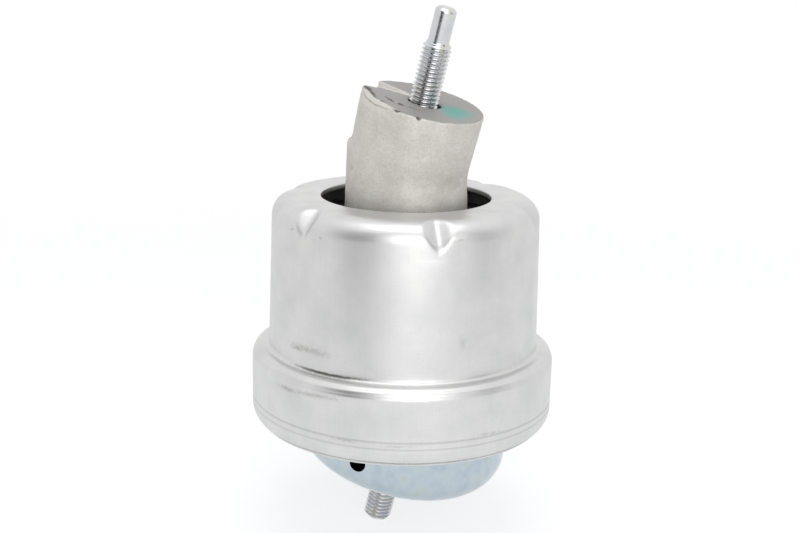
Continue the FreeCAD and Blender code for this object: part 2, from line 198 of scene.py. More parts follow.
def pick_where(piece, kind, wanted):
    """Pick those corners, edges or faces that wanted says yes to, and no others."""
    bpy.ops.mesh.select_all(action="DESELECT")
    mesh = bmesh.from_edit_mesh(piece.data)
    for part in getattr(mesh, kind):
        if wanted(part):
            part.select = True
    bmesh.update_edit_mesh(piece.data)


def even_turns(count):
    return [360 * step / count for step in range(count)]


# %% [markdown]
# ## Outlines
#
# An outline is a list of radius and height, made of straight runs and arcs. The arcs carry the
# real bend radii, so the light runs over an edge as it does on pressed metal.

# %% Outline helpers
SMOOTH_ANGLE = math.radians(38)     # faces that meet more sharply show an edge


def run(start, stop, steps):
    """Points of a straight run, without its first one."""
    return [tuple(a + (b - a) * step / steps for a, b in zip(start, stop)) for step in range(1, steps + 1)]


def arc(r, z, radius, start, stop, steps):
    """Points of a round stretch about (r, z), from one angle to another."""
    angles = [math.radians(start + (stop - start) * step / steps) for step in range(steps + 1)]
    return [(r + radius * math.cos(angle), z + radius * math.sin(angle)) for angle in angles]


def ring(r, z):
    """Station of a round ring about the axis."""
    return lambda turn: (r * math.cos(turn), r * math.sin(turn), z)


def grow_round(piece, outline):
    """Extrude the picked ring round the axis, through an outline."""
    grow(piece, [ring(*point) for point in outline])


def turned(name, outline, turns):
    """A turned skin through an outline."""
    piece = start_circle(name, turns, ring(*outline[0]))
    grow_round(piece, outline[1:])
    return piece


def settle(piece, origin, tilt=0.0):
    """Turn and scale a whole piece from millimetres into its place, and leave its object at the origin."""
    choose(piece)
    piece.location = origin
    piece.rotation_euler = (0, tilt, 0)
    piece.scale = (MM, MM, MM)
    bpy.ops.object.transform_apply(location=True, rotation=True, scale=True)
    bpy.ops.object.shade_smooth_by_angle(angle=SMOOTH_ANGLE)
    print(piece.name, "has", len(piece.data.polygons), "faces")


def apply_modifier(piece, kind, **settings):
    """Give a piece a modifier, as from the modifier panel, and apply it."""
    choose(piece)
    bpy.ops.object.modifier_add(type=kind)
    modifier = piece.modifiers[-1]
    for key, value in settings.items():
        setattr(modifier, key, value)
    bpy.ops.object.modifier_apply(modifier=modifier.name)


def cut(piece, cutter):
    """Take a cutter's shape out of a piece, and the cutter away."""
    apply_modifier(piece, "BOOLEAN", object=cutter, operation="DIFFERENCE", solver="EXACT")
    bpy.data.objects.remove(cutter)


def clamped(value):
    """The value, kept between nought and one."""
    return max(0, min(1, value))


def bell(distance, width):
    """One at no distance, and falling softly to nothing past the width."""
    return math.exp(-(distance / width) ** 2)


# %% [markdown]
# ## The camera
#
# The camera stands a little above the can's top and looks down on it by fourteen degrees, from a
# quarter that shows the lean of both studs. It is set first, so each piece can be judged from it.

# %% Camera
VIEW_AZIMUTH = math.radians(35.0)
VIEW_RISE = math.radians(14.28)
VIEW_ROLL = math.radians(1.34)
VIEW_TARGET = Vector((1.53, -0.99, 70.41)) * MM
VIEW_DISTANCE = 458.0 * MM
VIEW_LENS = 58.57
VIEW_NEAR = 0.01

across = Vector((math.cos(VIEW_AZIMUTH), math.sin(VIEW_AZIMUTH), 0))
back = Vector((math.sin(VIEW_AZIMUTH) * math.cos(VIEW_RISE),
               -math.cos(VIEW_AZIMUTH) * math.cos(VIEW_RISE),
               math.sin(VIEW_RISE)))
upward = back.cross(across)
right = across * math.cos(VIEW_ROLL) + upward * math.sin(VIEW_ROLL)
top = upward * math.cos(VIEW_ROLL) - across * math.sin(VIEW_ROLL)

deselect()
bpy.ops.object.camera_add()
camera = bpy.context.active_object
camera.name = "view_camera"
camera.matrix_world = (Matrix.Translation(VIEW_TARGET + back * VIEW_DISTANCE)
                       @ Matrix((right, top, back)).transposed().to_4x4())
camera.data.lens = VIEW_LENS
camera.data.clip_start = VIEW_NEAR
bpy.context.scene.camera = camera
print("camera at", [round(value, 3) for value in camera.location])

# %% [markdown]
# ## The can
#
# The can is one sheet of aluminium, 2 mm thick, drawn into a pot, stepped out to a rim and rolled
# in under the cup's flange. A solid with its inside cut away would need every bend drawn twice.
# Here only the outer skin is grown, its dents are pressed in, and Solidify then gives it the
# sheet's thickness.

# %% The can's outline
CAN_SHEET = 2.0
HOLE_R = 29.6
HOLE_EDGE = 0.45                    # width of the bevel round the hole
FLAT_R = 35.5                       # the flat top's rings are closer from here on, for the dents
WALL_R = 46.5
SHOULDER_R = 7.0
DRAFT = 1.2
FOOT_FILLET = 1.5
RIM_DROP = 53.0
RIM_CORNER_R = 4.0
ROLL_R = 7.0
ROLL_DEPTH = 74.0                   # from the can's top to the centre of the rolled edge
ROLL_TURN = 80
DENT_REACH_DOWN = 10.7

draft = math.radians(DRAFT)
slope = math.tan(draft)
shoulder_r = WALL_R - SHOULDER_R
wall_start = (shoulder_r + SHOULDER_R * math.cos(draft),
              -SHOULDER_R + SHOULDER_R * math.sin(draft))
foot_z = -RIM_DROP + FOOT_FILLET


def wall_point(z):
    return wall_start[0] + (wall_start[1] - z) * slope, z


def lined(points, lines):
    """Press fine lines into a round stretch: each is a share of its length, a depth and a width."""
    pressed = []
    count = len(points) - 1
    for index, (r, z) in enumerate(points):
        before = points[max(index - 1, 0)]
        after = points[min(index + 1, count)]
        run_r, run_z = after[0] - before[0], after[1] - before[1]
        length = math.hypot(run_r, run_z)
        depth = sum(d * bell(index / count - place, width) for place, d, width in lines)
        pressed.append((r + depth * run_z / length, z - depth * run_r / length))
    return pressed


RIM_LINES = ((0.42, 0.10, 0.045), (0.58, -0.06, 0.06), (0.74, 0.12, 0.06))
ROLL_LINES = ((0.17, 0.12, 0.03), (0.60, 0.35, 0.035), (0.70, -0.12, 0.05), (0.80, 0.30, 0.035))

top_flat = [(HOLE_R, 0.0)] + run((HOLE_R, 0.0), (FLAT_R, 0.0), 5)
top_flat += run((FLAT_R, 0.0), (shoulder_r - 0.5, 0.0), 6)
shoulder = arc(shoulder_r, -SHOULDER_R, SHOULDER_R, 90, DRAFT, 20)
dent_foot = wall_point(-DENT_REACH_DOWN - 2.0)
wall = run(wall_start, dent_foot, 10) + run(dent_foot, wall_point(foot_z - 0.03), 16)
foot_r = wall[-1][0] + FOOT_FILLET * math.cos(draft)
foot = arc(foot_r, foot_z, FOOT_FILLET, 180 + DRAFT, 270, 6)
corner = lined(arc(RIM_R - RIM_CORNER_R, -RIM_DROP - RIM_CORNER_R, RIM_CORNER_R, 90, 0, 26), RIM_LINES)
rim_wall = run(corner[-1], (RIM_R, -ROLL_DEPTH), 9)[:-1]
roll = lined(arc(RIM_R - ROLL_R, -ROLL_DEPTH, ROLL_R, 0, -ROLL_TURN, 30), ROLL_LINES)
can_outline = top_flat + shoulder + wall + foot[1:] + corner + rim_wall + roll
print("the can's outline has", len(can_outline), "points")

# %% [markdown]
# ### The six dents
#
# Six V-shaped punches lock the can's shoulder. A punch is a wedge: what lies inside it is pushed
# back to its two slanting faces, and the metal beside it bends over softly. Cutting the wedge away
# with a boolean would leave knife edges, so the skin's own corners are pushed instead. The skin is
# given more corners where the dents come, and few between them.

# %% Grow the can's skin
DENT_COUNT = 6
DENT_FIRST = 18.5
DENT_SPAN = 15.0
DENT_COLUMNS = 26
PLAIN_COLUMNS = 14
DENT_REACH_IN = 9.2
DENT_HALF_ANGLE = math.radians(48)
DENT_SOFTNESS = 1.4                 # bend radius of a dent's edges, roughly
DENT_SWELL = 0.06                   # how far the metal beside a dent rises
DENT_SIDE = 9.0                     # a punch moves nothing further to its side than this,
DENT_INNER = 33.0                   # nearer to the can's axis than this,
DENT_BELOW = 3.0                    # or further below the dent's foot than this

sector = 360 / DENT_COUNT
plain_span = sector - DENT_SPAN
can_turns = []
for dent in range(DENT_COUNT):
    first = DENT_FIRST + sector * dent - DENT_SPAN / 2
    can_turns += [first + DENT_SPAN * step / DENT_COLUMNS for step in range(DENT_COLUMNS)]
    can_turns += [first + DENT_SPAN + plain_span * step / PLAIN_COLUMNS for step in range(PLAIN_COLUMNS)]

can_shell = turned("can_shell", can_outline, can_turns)
bpy.ops.mesh.select_all(action="SELECT")
bpy.ops.mesh.normals_make_consistent(inside=False)
bpy.ops.object.mode_set(mode="OBJECT")
print("skin of", len(can_shell.data.vertices), "corners")

# %% Press the dents
dent_top = Vector((WALL_R - DENT_REACH_IN, 0, 0))
dent_low = Vector((wall_point(-DENT_REACH_DOWN)[0], 0, -DENT_REACH_DOWN))
valley = (dent_low - dent_top).normalized()
outward = Vector((-valley.z, 0, valley.x))


def pressed(place):
    """Where the punch over +X leaves a point of the skin."""
    height = (place - dent_top).dot(outward)
    side = math.hypot(place.y, DENT_SOFTNESS)
    punch = side / math.tan(DENT_HALF_ANGLE)
    gap = punch - height
    soft = DENT_SOFTNESS * 0.5
    push = 0.5 * (gap - math.sqrt(gap * gap + 4 * soft * soft))
    swell = DENT_SWELL * bell(gap - 0.9, 0.8)
    return place + outward * (push + swell)


for corner_point in can_shell.data.vertices:
    place = corner_point.co
    turn = math.degrees(math.atan2(place.y, place.x))
    nearest = round((turn - DENT_FIRST) / sector) * sector + DENT_FIRST
    swing = Matrix.Rotation(math.radians(nearest), 3, "Z")
    local = swing.inverted() @ place
    room_in = local.x - DENT_INNER
    room_down = local.z + DENT_REACH_DOWN + DENT_BELOW
    room_aside = DENT_SIDE - abs(local.y)
    if min(room_in, room_down, room_aside) > 0:
        fade = clamped(room_in / 3) * clamped(room_down / 2) * clamped(room_aside / 2.5)
        corner_point.co = swing @ local.lerp(pressed(local), fade)
print("pressed", DENT_COUNT, "dents")

# %% Give the skin its sheet
apply_modifier(can_shell, "SOLIDIFY", thickness=CAN_SHEET, offset=-1, use_even_offset=False, use_rim=True)


def on_hole_edge(edge):
    """Whether an edge runs round the hole, at the sheet's top or bottom."""
    radii = [math.hypot(end.co.x, end.co.y) for end in edge.verts]
    heights = [end.co.z for end in edge.verts]
    return max(radii) < HOLE_R + 0.05 and abs(heights[0] - heights[1]) < 0.05


edit_mode("EDGE")
pick_where(can_shell, "edges", on_hole_edge)
bpy.ops.mesh.bevel(offset=HOLE_EDGE, segments=3, profile=0.5)
bpy.ops.object.mode_set(mode="OBJECT")
settle(can_shell, CAN_TOP)

# %% [markdown]
# ## The core
#
# The core is one gravity casting: a straight neck that fills the can's hole, and a post that leaves
# it at an angle. The two are grown as separate round solids, joined, and remeshed into one skin,
# which melts them together with the small radius that a casting has. The remesh also gives even
# small faces, which the casting's uneven skin, its pits and its nicks need.

# %% Neck and post
NECK_R = 21.2
NECK_DRAFT = math.tan(math.radians(1.8))
NECK_RISE = 14.2                    # top of the straight neck above the can's top, on the axis
POST_LENGTH = 24.4
POST_FOOT_R = 20.8
POST_TOP_R = 21.3
STOP_DROP = 11.0
STOP_R = 33.0
STOP_H = 5.0
CORE_DEPTH = 45.0
NOSE_R = 16.0
CORE_EDGE = 2.0
MOUTH_R = 5.9                       # mouth of the stud's hole, cast a little off the stud's axis
MOUTH_SHIFT = 0.5
STUD_HOLE_MOUTH = 2.5
SHANK_R = 5.6
SHANK_L = 18.0

core_turns = even_turns(160)


def neck_top(turn):
    """The neck ends in a plane square to the lean."""
    r = NECK_R - NECK_RISE * NECK_DRAFT
    x, y = r * math.cos(turn), r * math.sin(turn)
    return x, y, NECK_RISE - x * math.tan(TILT)


nose = [(0.0, -CORE_DEPTH), (NOSE_R - CORE_EDGE, -CORE_DEPTH)]
nose += arc(NOSE_R - CORE_EDGE, -CORE_DEPTH + CORE_EDGE, CORE_EDGE, -90, 0, 5)[1:]
nose += [(STOP_R, -STOP_DROP - STOP_H)]
nose += arc(STOP_R - CORE_EDGE, -STOP_DROP - CORE_EDGE, CORE_EDGE, 0, 90, 5)
nose += [(NECK_R + STOP_DROP * NECK_DRAFT, -STOP_DROP), (NECK_R, 0.0)]
neck = turned("core_casting", nose, core_turns)
grow(neck, [neck_top, lambda turn: (0, 0, NECK_RISE)])
close_skin()
settle(neck, CAN_TOP)


def stud_ring(r, z, shift=0.0):
    """Ring about the stud's axis, which stands a little off the post's."""
    return lambda turn: (UPPER_STUD_SHIFT + shift + r * math.cos(turn), r * math.sin(turn), z)


post_outline = [(0.0, -POST_LENGTH), (POST_FOOT_R, -POST_LENGTH), (POST_TOP_R, 0.0)]
post = turned("core_post", post_outline, core_turns)
grow(post, [stud_ring(MOUTH_R, 0.0, MOUTH_SHIFT), stud_ring(MOUTH_R, -STUD_HOLE_MOUTH, MOUTH_SHIFT),
            stud_ring(SHANK_R, -STUD_HOLE_MOUTH), stud_ring(SHANK_R, -SHANK_L), stud_ring(0.0, -SHANK_L)])
close_skin()
settle(post, POST_FACE, TILT)

# %% [markdown]
# ### The locating slot
#
# A lug of the engine bracket drops into a slot at the high side of the top face. It has one upright
# wall. Its floor slopes up along the wall to the stud, and rises sideways away from the wall. The
# slot is a box with its corner at the end of the wall, turned by both slopes, and a boolean takes
# it out of the post before the remesh.

# %% Cut the slot
SLOT_WALL = 2.0                     # the wall's place, to the side of the post's axis
SLOT_DEPTH = 2.6
SLOT_RUNOUT = 4.0
SLOT_CANT = math.radians(12)

slot_slope = math.atan2(SLOT_DEPTH, POST_TOP_R + SLOT_RUNOUT)
slot_length = 2 * POST_TOP_R
deselect()
bpy.ops.mesh.primitive_cube_add(size=1)
slot = new_piece("slot_cutter")
for step in (Matrix.Translation((-0.5, -0.5, 0.5)),
             Matrix.Diagonal((slot_length, slot_length, POST_TOP_R, 1)),
             Matrix.Rotation(-SLOT_CANT, 4, "X"), Matrix.Rotation(-slot_slope, 4, "Y"),
             Matrix.Translation((SLOT_RUNOUT, SLOT_WALL, 0))):
    slot.data.transform(step)
settle(slot, POST_FACE, TILT)
cut(post, slot)

# %% Melt neck and post into one casting
CASTING_GRAIN = 0.5                 # side of a face after the remesh
BEND_DROP = 2.0                     # the softened band's middle, below the neck's top plane
BEND_REACH = 7.0                    # half its height
BEND_BACK = -15.0                   # it fades in over a few mm from here towards +X
CLEAR_OF_CAN = 1.0

choose(neck)
post.select_set(True)
bpy.ops.object.join()
apply_modifier(neck, "REMESH", mode="VOXEL", voxel_size=CASTING_GRAIN * MM, adaptivity=0)
apply_modifier(neck, "SMOOTH", factor=0.5, iterations=3)
core_casting = neck

# the two bodies run into each other softly at the front and on the low side; a ledge stays at the back
to_can = (Matrix.Translation(CAN_TOP) @ Matrix.Scale(MM, 4)).inverted()
bend = core_casting.vertex_groups.new(name="bend")
for vertex in core_casting.data.vertices:
    spot = to_can @ vertex.co
    off_bend = abs(spot.z - NECK_RISE + BEND_DROP + spot.x * math.tan(TILT))
    if off_bend < BEND_REACH and spot.z > CLEAR_OF_CAN:
        weight = clamped((spot.x - BEND_BACK) / 6) * clamped((BEND_REACH - off_bend) / 4)
        bend.add([vertex.index], weight, "REPLACE")
apply_modifier(core_casting, "SMOOTH", factor=0.8, iterations=90, vertex_group="bend")
print("casting of", len(core_casting.data.polygons), "faces")

# %% [markdown]
# ### A casting's skin
#
# Molten metal leaves a skin that is never quite flat: broad waves, small pits where gas was, and
# nicks where the casting was knocked. Noise moves each corner along its normal for the waves, and
# a short list of places, read off the part, takes the pits and nicks. The top face keeps flat, apart
# from one crack, a groove along its front lip, and the front of its rim, which is worn round.

# %% Where the marks are
CRACK = ((-6.6, -11.8), (-4.1, -12.6), (-0.9, -12.8), (1.9, -11.6), (4.1, -11.0), (6.0, -10.3))
LIP = ((-17.9, -9.6), (-15.4, -11.1), (-12.6, -12.9), (-8.7, -15.7), (-4.7, -16.8), (-2.4, -17.2))
FACE_NICKS = (((3.7, -20.3), 0.9, 0.6), ((10.7, -18.0), 0.7, 0.55), ((-7.0, -20.0), 1.6, 0.3),
              ((16.5, -12.5), 1.2, 0.25))
WORN_CENTRE = Vector((13.2, 29.4))          # the worn rim lies outside a wide circle round this point
WORN_REACH = 50.0
FACE_SKIN = 3.5                             # what lies this little under the top face bears its marks
MARK_SIDE = 1.2                             # faces this near a crack or groove are made finer
NECK_PITS = ((1, 14.7, 1.3, 0.30), (4, 8.4, 0.9, 0.25), (3, 5.4, 1.0, 0.3), (-119, 9.9, 1.1, 0.35),
             (-77, 12.7, 0.8, 0.2), (-100, 6.0, 0.9, 0.2), (-40, 17.0, 0.9, 0.18), (60, 12.0, 1.2, 0.3),
             (120, 9.0, 1.0, 0.3), (170, 14.0, 1.3, 0.3), (-160, 6.0, 1.0, 0.25))


def off_line(spot, line):
    """Distance of a point from a line of points, and its share of the line's length."""
    point = Vector((spot.x, spot.y))
    nearest = (1e9, 0.0)
    for index in range(len(line) - 1):
        start, stop = Vector(line[index]), Vector(line[index + 1])
        along = stop - start
        share = clamped((point - start).dot(along) / along.length_squared)
        nearest = min(nearest, ((point - start - along * share).length, (index + share) / (len(line) - 1)))
    return nearest


# %% Refine the top face round its cracks
to_face = (Matrix.Translation(POST_FACE) @ Matrix.Rotation(TILT, 4, "Y") @ Matrix.Scale(MM, 4)).inverted()


def by_a_mark(face):
    """Whether a face lies on the core's top, close to the crack or the groove."""
    spot = to_face @ face.calc_center_median()
    return spot.z > -FACE_SKIN and min(off_line(spot, CRACK)[0], off_line(spot, LIP)[0]) < MARK_SIDE


choose(core_casting)
edit_mode("FACE")
pick_where(core_casting, "faces", by_a_mark)
bpy.ops.mesh.subdivide(number_cuts=2)
bpy.ops.object.mode_set(mode="OBJECT")

# %% Roughen the casting
normals = [vertex.normal.copy() for vertex in core_casting.data.vertices]
for vertex, normal in zip(core_casting.data.vertices, normals):
    spot = to_face @ vertex.co
    low = to_can @ vertex.co
    on_face = clamped((normal.dot(LEAN) - 0.75) * 5)
    wave = 0.10 * noise.noise(low * 0.16) + 0.055 * noise.noise(low * 0.42) + 0.03 * noise.noise(low * 1.1)
    move = wave * (1 - 0.8 * on_face)
    if spot.z > -FACE_SKIN:
        worn = max(0, (Vector((spot.x, spot.y)) - WORN_CENTRE).length - WORN_REACH)
        move -= 0.13 * worn * worn * clamped((spot.z + 3.0) / 2.5)
        wobbled = spot + Vector((0, 0.4 * noise.noise(Vector((spot.x * 0.7, 7, 0))), 0))
        for line, width, depth in ((CRACK, 0.45, 0.7), (LIP, 0.5, 0.5)):
            off, share = off_line(wobbled, line)
            taper = math.sin(math.pi * (0.1 + 0.85 * share)) ** 0.7
            move -= on_face * depth * taper * bell(off, width)
    for place, width, depth in FACE_NICKS:
        move -= depth * bell((spot - Vector((*place, 0))).length, width)
    if on_face < 0.5:
        turn = math.degrees(math.atan2(low.y, low.x))
        for pit_turn, height, width, depth in NECK_PITS:
            swing = (turn - pit_turn + 180) % 360 - 180
            move -= depth * bell(math.hypot(math.radians(swing) * NECK_R, low.z - height), width)
    vertex.co += normal * move * MM
choose(core_casting)
bpy.ops.object.shade_smooth()
print("roughened", len(normals), "corners")

# %% [markdown]
# ## The studs
#
# Both studs are M10 with a 1.5 mm pitch. A thread drawn in a bump map would give a smooth outline,
# and against a white ground the outline is what shows. So one line of the thread's profile, with
# its flat crests, is wound up by the Screw modifier. Corners past an end are gathered on the core's
# circle there, which closes the skin, and the plain pilot, shank or head is grown from that circle.

# %% Wind a thread
THREAD_R = 5.0
PITCH = 1.5
THREAD_ROOT_R = 4.08
THREAD_END_R = 4.0
CHAMFER = 0.9
THREAD_STEPS = 56
END_FLATNESS = 0.02                 # an end's corners are this close to its height
PROFILE = ((THREAD_ROOT_R - 0.04, 0.0), (THREAD_ROOT_R + 0.02, 0.17), (4.54, 0.45), (THREAD_R - 0.03, 0.66),
           (THREAD_R, 0.75), (THREAD_R - 0.03, 0.84), (4.54, 1.05), (THREAD_ROOT_R + 0.02, 1.33))


def wound_thread(name, low, high, low_chamfer, high_chamfer):
    """The skin of a thread between two heights, chamfered at either end or not."""
    deselect()
    bpy.ops.mesh.primitive_plane_add(size=1)
    stud = new_piece(name)
    edit_mode("VERT")
    bpy.ops.mesh.select_all(action="SELECT")
    bpy.ops.mesh.merge(type="CENTER")
    spots = [Vector((r, 0, low - 1.5 * PITCH + turn * PITCH + rise))
             for turn in range(int((high - low) / PITCH) + 4) for r, rise in PROFILE]
    bpy.ops.transform.translate(value=spots[0])
    for before, after in zip(spots, spots[1:]):
        bpy.ops.mesh.extrude_region_move(TRANSFORM_OT_translate={"value": after - before})
    bpy.ops.object.mode_set(mode="OBJECT")
    apply_modifier(stud, "SCREW", axis="Z", angle=2 * math.pi, screw_offset=PITCH, iterations=1,
                   steps=THREAD_STEPS, render_steps=THREAD_STEPS, use_smooth_shade=True)
    for vertex in stud.data.vertices:
        x, y, z = vertex.co
        turn = math.atan2(y, x)
        r = math.hypot(x, y)
        if low < z < high:
            room_low = z - low if low_chamfer else THREAD_R
            room_high = high - z if high_chamfer else THREAD_R
            r = min(r, THREAD_R - CHAMFER + room_low, THREAD_R - CHAMFER + room_high)
        else:
            r = THREAD_END_R
            z = max(low, min(high, z))
        vertex.co = (r * math.cos(turn), r * math.sin(turn), z)
    edit_mode("VERT")
    bpy.ops.mesh.select_all(action="SELECT")
    bpy.ops.mesh.remove_doubles(threshold=0.01)
    mesh = bmesh.from_edit_mesh(stud.data)
    layer = mesh.verts.layers.float.new("turn")
    for vertex in mesh.verts:
        vertex[layer] = math.atan2(vertex.co.y, vertex.co.x)
    bmesh.update_edit_mesh(stud.data)
    return stud


def pick_end(stud, height):
    """Pick the ring that closes a thread at this height."""
    pick_where(stud, "edges", lambda edge: edge.is_boundary
               and all(abs(end.co.z - height) < END_FLATNESS for end in edge.verts))


# %% The upper stud, with its plain pilot end
UPPER_THREAD_L = 20.7
PILOT_R = 3.65
PILOT_TIP = UPPER_THREAD_L + 12.3

upper_stud = wound_thread("upper_stud_m10", -STUD_HOLE_MOUTH, UPPER_THREAD_L, False, True)
pick_end(upper_stud, UPPER_THREAD_L)
pilot = [(PILOT_R + 0.15, UPPER_THREAD_L), (PILOT_R, UPPER_THREAD_L + 0.2), (PILOT_R, UPPER_THREAD_L + 0.6),
         (PILOT_R, PILOT_TIP - 1.6), (PILOT_R, PILOT_TIP - 1.25), (PILOT_R - 0.12, PILOT_TIP - 1.02),
         (2.75, PILOT_TIP - 0.28), (2.5, PILOT_TIP - 0.14), (2.0, PILOT_TIP - 0.06), (1.0, PILOT_TIP),
         (0.0, PILOT_TIP)]
grow_round(upper_stud, pilot)
pick_end(upper_stud, -STUD_HOLE_MOUTH)
grow_round(upper_stud, [(SHANK_R, -STUD_HOLE_MOUTH), (SHANK_R, -SHANK_L), (0.0, -SHANK_L)])
close_skin()
settle(upper_stud, STUD_FOOT, TILT)

# %% The lower stud, pressed through the cup's floor
CUP_SHEET = 2.5
LOWER_STUD_L = 27.5
LOWER_SHANK_R = 5.8
LOWER_HEAD_R = 9.0
LOWER_HEAD_H = 4.5
HEAD_EDGE = 0.6

lower_stud = wound_thread("lower_stud_m10", -LOWER_STUD_L, 0.0, True, False)
pick_end(lower_stud, -LOWER_STUD_L)
grow_round(lower_stud, [(3.7, -LOWER_STUD_L), (3.4, -LOWER_STUD_L + 0.12), (0.0, -LOWER_STUD_L + 0.15)])
pick_end(lower_stud, 0.0)
head_top = CUP_SHEET + LOWER_HEAD_H
head = [(LOWER_SHANK_R, 0.0), (LOWER_SHANK_R, CUP_SHEET), (LOWER_HEAD_R, CUP_SHEET),
        (LOWER_HEAD_R, head_top - HEAD_EDGE), (LOWER_HEAD_R - HEAD_EDGE, head_top), (0.0, head_top)]
grow_round(lower_stud, head)
close_skin()
settle(lower_stud, SEAT, TILT)

# %% [markdown]
# ## The cup
#
# The cup is a pressed steel pot whose flat bottom slants with the lower stud. Its lower edge has
# the same radius all round, but the angle it turns through changes, because the wall meets the
# slanting bottom more sharply on one side. So each corner of a ring is placed from a ball that
# rolls round inside the pot, touching wall and bottom. The same rings, one sheet further in, make
# the inner skin, and the two meet in the flange that the can's rim holds.

# %% Stations round the pot
CUP_R = 37.8
CUP_EDGE_R = 11.0
CUP_NECK_R = 1.5
CUP_FLANGE_DROP = 79.0
CUP_TOP_DROP = CUP_FLANGE_DROP - CUP_SHEET
neck_z = -CUP_FLANGE_DROP - CUP_NECK_R
STUD_SHIFT = SEAT.x - CAN_TOP.x
SEAT_DROP = -CAN_TOP.z / MM          # height of the lower stud's place in the seat, from the can's top

down = -LEAN


def seat_height(x, lift):
    """Height of the seat's plane, moved in by lift, at x from the can's axis; all in millimetres."""
    return SEAT_DROP - (x - STUD_SHIFT / MM) * math.tan(TILT) + lift / math.cos(TILT)


def edge_ring(wall_r, edge_r, lift, share):
    """Ring on the rolled lower edge: share 0 is on the bottom, 1 on the wall."""
    def station(turn):
        radial = Vector((math.cos(turn), math.sin(turn), 0))
        centre = radial * (wall_r - edge_r)
        centre.z = seat_height(centre.x, lift + edge_r)
        return centre + down.slerp(radial, share) * edge_r
    return station


def floor_ring(r, lift):
    """Ring on the slanting floor, about the lower stud."""
    def station(turn):
        place = DOWN_FACE * r * math.cos(turn) + Vector((0, r * math.sin(turn), 0)) + LEAN * lift
        return place + Vector((STUD_SHIFT / MM, 0, SEAT_DROP))
    return station


def below_neck(station):
    """The same ring, kept under the flange where the slanting bottom rises into it."""
    def kept(turn):
        place = Vector(station(turn))
        place.z = min(place.z, neck_z)
        return place
    return kept


def between(first, second, share):
    """Ring part of the way from one station to another."""
    return lambda turn: Vector(first(turn)).lerp(Vector(second(turn)), share)


# %% Grow the cup
FLOOR_R = 14                        # rings about the stud inside this, and about the can outside it
HOLE_EASE = 0.4                     # chamfer where the stud's hole meets the seat


def inner_edge(share):
    """The rolled lower edge's ring on the inner skin."""
    return edge_ring(CUP_R - CUP_SHEET, CUP_EDGE_R - CUP_SHEET, CUP_SHEET, share)


bottom = edge_ring(CUP_R, CUP_EDGE_R, 0, 0)
wall_foot = below_neck(edge_ring(CUP_R, CUP_EDGE_R, 0, 1))
flange_hook = arc(RIM_R - ROLL_R, -ROLL_DEPTH, ROLL_R - CAN_SHEET, -90, -30, 8)

stations = [floor_ring(r, 0) for r in (LOWER_SHANK_R + HOLE_EASE, 9, FLOOR_R)]
stations += [between(floor_ring(FLOOR_R, 0), bottom, share) for share in (0.33, 0.66)]
stations += [below_neck(edge_ring(CUP_R, CUP_EDGE_R, 0, step / 20)) for step in range(21)]
stations += [between(wall_foot, ring(CUP_R, neck_z), step / 8) for step in range(1, 9)]
stations += [ring(*point) for point in arc(CUP_R + CUP_NECK_R, neck_z, CUP_NECK_R, 180, 90, 5)[1:]]
stations += [ring(*point) for point in flange_hook]
stations += [ring(CUP_R, -CUP_TOP_DROP), ring(CUP_R - CUP_SHEET, -CUP_TOP_DROP)]
stations += [inner_edge(1 - step / 8) for step in range(9)]
stations += [between(inner_edge(0), floor_ring(LOWER_SHANK_R, CUP_SHEET), share) for share in (0.5, 1)]
stations += [floor_ring(LOWER_SHANK_R, HOLE_EASE), floor_ring(LOWER_SHANK_R + HOLE_EASE, 0)]

cup_pot = start_circle("cup_pot", even_turns(180), stations[0])
grow(cup_pot, stations[1:])
close_skin()

# %% [markdown]
# ### The vent hole
#
# One small hole is pierced through the cup's wall, close under the rim. A boolean cuts it out with
# a slim cylinder that lies along its axis.

# %% Pierce the vent
VENT_R = 2.9
VENT_TURN = math.radians(-77.4)
VENT_DROP = 85.9

deselect()
bpy.ops.mesh.primitive_cylinder_add(vertices=40, radius=VENT_R, depth=4 * CUP_SHEET)
punch = new_piece("vent_punch")
for step in (Matrix.Rotation(math.pi / 2, 4, "Y"), Matrix.Translation((CUP_R - CUP_SHEET / 2, 0, -VENT_DROP)),
             Matrix.Rotation(VENT_TURN, 4, "Z")):
    punch.data.transform(step)
cut(cup_pot, punch)
settle(cup_pot, CAN_TOP)

# %% [markdown]
# ## The main spring
#
# The rubber is bonded to the core and to a steel ring inside the can. Only its thick pad on the
# core's stop shoulder shows, deep in the hole. It is grown as a turned skin whose pad has rounded
# edges, and later it is blended between the two bodies, because it stretches when the core moves.

# %% Grow the rubber
PAD_T = 3.5
PAD_INNER_R = 25.0
PAD_INNER_EDGE = 1.2
PAD_OUTER_EDGE = 1.6
PAD_HOLLOW_R = 3.0                  # hollow between the pad and the slope to the ring
RING_R = 45.25
RING_LIP_T = 1.3
RING_FOOT_T = 6.3

spring_foot = (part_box("main_spring")[0][2] - CAN_TOP.z) / MM
ring_low, ring_high = (Vector(corner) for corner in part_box("spring_ring"))
ring_top = (ring_high.z - CAN_TOP.z) / MM

pad_top = -STOP_DROP + PAD_T
pad_r = STOP_R + PAD_T
spring_outline = [(RING_R - RING_FOOT_T, spring_foot), (RING_R - RING_FOOT_T - 3, spring_foot + 4),
                  (30, -47.5), (22, -45.5),
                  (NOSE_R - CORE_EDGE + 1, -CORE_DEPTH + 0.4), (NOSE_R, -CORE_DEPTH + 2),
                  (STOP_R, -STOP_DROP - STOP_H), (STOP_R, -STOP_DROP - CORE_EDGE)]
spring_outline += arc(STOP_R - CORE_EDGE, -STOP_DROP - CORE_EDGE, CORE_EDGE, 0, 90, 4)[1:]
spring_outline += [(PAD_INNER_R, -STOP_DROP)]
spring_outline += arc(PAD_INNER_R + PAD_INNER_EDGE, pad_top - PAD_INNER_EDGE, PAD_INNER_EDGE, 180, 90, 4)
spring_outline += arc(pad_r - PAD_OUTER_EDGE, pad_top - PAD_OUTER_EDGE, PAD_OUTER_EDGE, 90, 0, 5)
